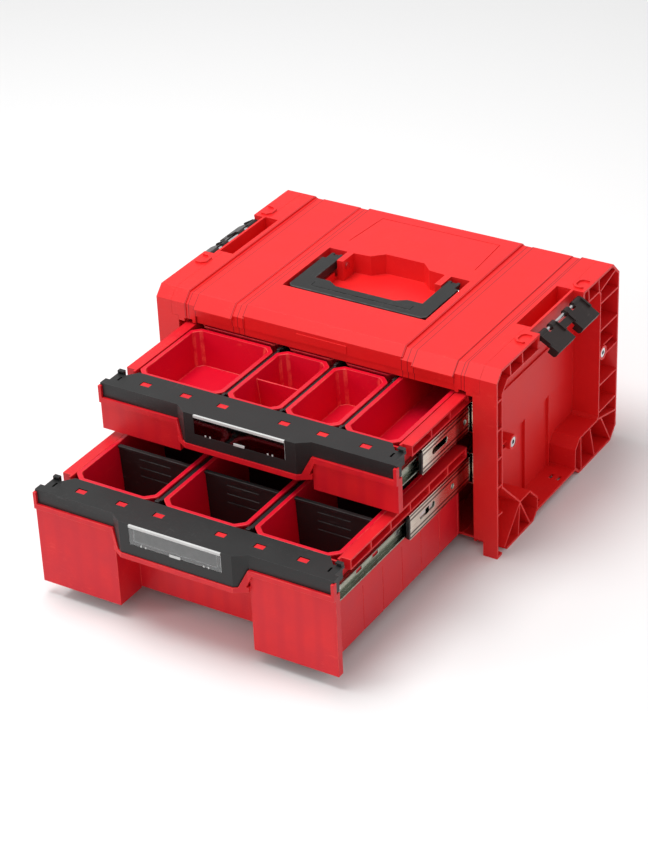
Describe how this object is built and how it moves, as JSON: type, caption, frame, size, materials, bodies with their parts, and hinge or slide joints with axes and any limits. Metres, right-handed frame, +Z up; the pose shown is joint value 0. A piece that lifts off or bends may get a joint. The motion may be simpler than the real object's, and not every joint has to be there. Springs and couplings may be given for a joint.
{
  "type": "tool box with drawers",
  "caption": "Portable stacking tool box with ball bearing drawers, lift-out bins, a folding carry handle and side latches.",
  "frame": {"origin": "middle of the case at floor level, under the runner of the base", "axes": "+X to the right seen from the front, +Y to the back, +Z up; the drawers open towards -Y"},
  "size_m": [0.4948, 0.618, 0.244],
  "materials": {
    "red_plastic": "fine grained, injection moulded",
    "black_plastic": "fine grained, injection moulded",
    "zinc_plated_steel": "bright zinc plating",
    "bright_steel": "polished",
    "clear_plastic": "clear, moulded",
    "grey_card": "plain card"
  },
  "bodies": {
    "case": {"top_cover": "red_plastic", "side_frame_left": "red_plastic", "side_frame_right": "red_plastic", "back_panel": "red_plastic", "base_plate": "red_plastic", "frame_bolts": "bright_steel", "handle_pins": "bright_steel", "latch_pins": "bright_steel", "slide_screws_case": "bright_steel", "outer_slide_upper_left": "zinc_plated_steel", "outer_slide_upper_right": "zinc_plated_steel", "outer_slide_lower_left": "zinc_plated_steel", "outer_slide_lower_right": "zinc_plated_steel"},
    "upper_drawer": {"upper_drawer_shell": "red_plastic", "upper_drawer_bar": "black_plastic", "upper_label_window": "clear_plastic", "upper_bin_rails": "black_plastic", "wide_bin": "red_plastic", "narrow_bin_divided": "red_plastic", "narrow_bin_plain": "red_plastic", "long_bin": "red_plastic", "rear_wide_bin": "red_plastic", "rear_narrow_bin_left": "red_plastic", "rear_narrow_bin_right": "red_plastic", "slide_screws_upper": "bright_steel", "inner_slide_upper_left": "zinc_plated_steel", "inner_slide_upper_right": "zinc_plated_steel"},
    "lower_drawer": {"lower_drawer_shell": "red_plastic", "lower_drawer_bar": "black_plastic", "lower_label_window": "clear_plastic", "lower_label_card": "grey_card", "lower_bin_rails": "black_plastic", "deep_bin_left": "red_plastic", "deep_bin_middle": "red_plastic", "deep_bin_right": "red_plastic", "dividers_left": "black_plastic", "dividers_middle": "black_plastic", "dividers_right": "black_plastic", "slide_screws_lower": "bright_steel", "inner_slide_lower_left": "zinc_plated_steel", "inner_slide_lower_right": "zinc_plated_steel"},
    "handle": {"carry_handle": "black_plastic"},
    "latch_left": {"side_latch_left": "black_plastic"},
    "latch_right": {"side_latch_right": "black_plastic"},
    "middle_upper_left": {"middle_slide_upper_left": "zinc_plated_steel", "slide_guide_upper_left": "black_plastic"},
    "outer_cage_upper_left": {"outer_cage_upper_left": "bright_steel"},
    "inner_cage_upper_left": {"inner_cage_upper_left": "bright_steel"},
    "middle_upper_right": {"middle_slide_upper_right": "zinc_plated_steel", "slide_guide_upper_right": "black_plastic"},
    "outer_cage_upper_right": {"outer_cage_upper_right": "bright_steel"},
    "inner_cage_upper_right": {"inner_cage_upper_right": "bright_steel"},
    "middle_lower_left": {"middle_slide_lower_left": "zinc_plated_steel", "slide_guide_lower_left": "black_plastic"},
    "outer_cage_lower_left": {"outer_cage_lower_left": "bright_steel"},
    "inner_cage_lower_left": {"inner_cage_lower_left": "bright_steel"},
    "middle_lower_right": {"middle_slide_lower_right": "zinc_plated_steel", "slide_guide_lower_right": "black_plastic"},
    "outer_cage_lower_right": {"outer_cage_lower_right": "bright_steel"},
    "inner_cage_lower_right": {"inner_cage_lower_right": "bright_steel"}
  },
  "joints": [
    {"name": "upper_drawer_slide", "type": "slide", "parent": "case", "child": "upper_drawer", "axis": [0, -1, 0], "range_m": [-0.163, 0.137]},
    {"name": "lower_drawer_slide", "type": "slide", "parent": "case", "child": "lower_drawer", "axis": [0, -1, 0], "range_m": [-0.296, 0.004]},
    {"name": "middle_upper_left_slide", "type": "slide", "parent": "case", "child": "middle_upper_left", "axis": [0, -1, 0], "range_m": [-0.10922, 0.09188]},
    {"name": "outer_cage_upper_left_slide", "type": "slide", "parent": "case", "child": "outer_cage_upper_left", "axis": [0, -1, 0], "range_m": [-0.05486, 0.04619]},
    {"name": "inner_cage_upper_left_slide", "type": "slide", "parent": "case", "child": "inner_cage_upper_left", "axis": [0, -1, 0], "range_m": [-0.13636, 0.11469]},
    {"name": "middle_upper_right_slide", "type": "slide", "parent": "case", "child": "middle_upper_right", "axis": [0, -1, 0], "range_m": [-0.10922, 0.09188]},
    {"name": "outer_cage_upper_right_slide", "type": "slide", "parent": "case", "child": "outer_cage_upper_right", "axis": [0, -1, 0], "range_m": [-0.05486, 0.04619]},
    {"name": "inner_cage_upper_right_slide", "type": "slide", "parent": "case", "child": "inner_cage_upper_right", "axis": [0, -1, 0], "range_m": [-0.13636, 0.11469]},
    {"name": "middle_lower_left_slide", "type": "slide", "parent": "case", "child": "middle_lower_left", "axis": [0, -1, 0], "range_m": [-0.13962, 0.00238]},
    {"name": "outer_cage_lower_left_slide", "type": "slide", "parent": "case", "child": "outer_cage_lower_left", "axis": [0, -1, 0], "range_m": [-0.07006, 0.00144]},
    {"name": "inner_cage_lower_left_slide", "type": "slide", "parent": "case", "child": "inner_cage_lower_left", "axis": [0, -1, 0], "range_m": [-0.21806, 0.00344]},
    {"name": "middle_lower_right_slide", "type": "slide", "parent": "case", "child": "middle_lower_right", "axis": [0, -1, 0], "range_m": [-0.13962, 0.00238]},
    {"name": "outer_cage_lower_right_slide", "type": "slide", "parent": "case", "child": "outer_cage_lower_right", "axis": [0, -1, 0], "range_m": [-0.07006, 0.00144]},
    {"name": "inner_cage_lower_right_slide", "type": "slide", "parent": "case", "child": "inner_cage_lower_right", "axis": [0, -1, 0], "range_m": [-0.21806, 0.00344]},
    {"name": "handle_hinge", "type": "hinge", "parent": "case", "child": "handle", "pos_m": [0, 0.009, 0.233], "axis": [-1, 0, 0], "range_deg": [0, 95]},
    {"name": "latch_right_hinge", "type": "hinge", "parent": "case", "child": "latch_right", "pos_m": [0.221, 0.004, 0.234], "axis": [0, -1, 0], "range_deg": [-20, 120]},
    {"name": "latch_left_hinge", "type": "hinge", "parent": "case", "child": "latch_left", "pos_m": [-0.221, 0.004, 0.234], "axis": [0, 1, 0], "range_deg": [-20, 120]}
  ],
  "couplings": [
    {"joint": "middle_upper_left_slide", "follows": "upper_drawer_slide", "ratio": 0.667},
    {"joint": "outer_cage_upper_left_slide", "follows": "upper_drawer_slide", "ratio": 0.3335},
    {"joint": "inner_cage_upper_left_slide", "follows": "upper_drawer_slide", "ratio": 0.8335},
    {"joint": "middle_upper_right_slide", "follows": "upper_drawer_slide", "ratio": 0.667},
    {"joint": "outer_cage_upper_right_slide", "follows": "upper_drawer_slide", "ratio": 0.3335},
    {"joint": "inner_cage_upper_right_slide", "follows": "upper_drawer_slide", "ratio": 0.8335},
    {"joint": "middle_lower_left_slide", "follows": "lower_drawer_slide", "ratio": 0.47},
    {"joint": "outer_cage_lower_left_slide", "follows": "lower_drawer_slide", "ratio": 0.235},
    {"joint": "inner_cage_lower_left_slide", "follows": "lower_drawer_slide", "ratio": 0.735},
    {"joint": "middle_lower_right_slide", "follows": "lower_drawer_slide", "ratio": 0.47},
    {"joint": "outer_cage_lower_right_slide", "follows": "lower_drawer_slide", "ratio": 0.235},
    {"joint": "inner_cage_lower_right_slide", "follows": "lower_drawer_slide", "ratio": 0.735}
  ]
}
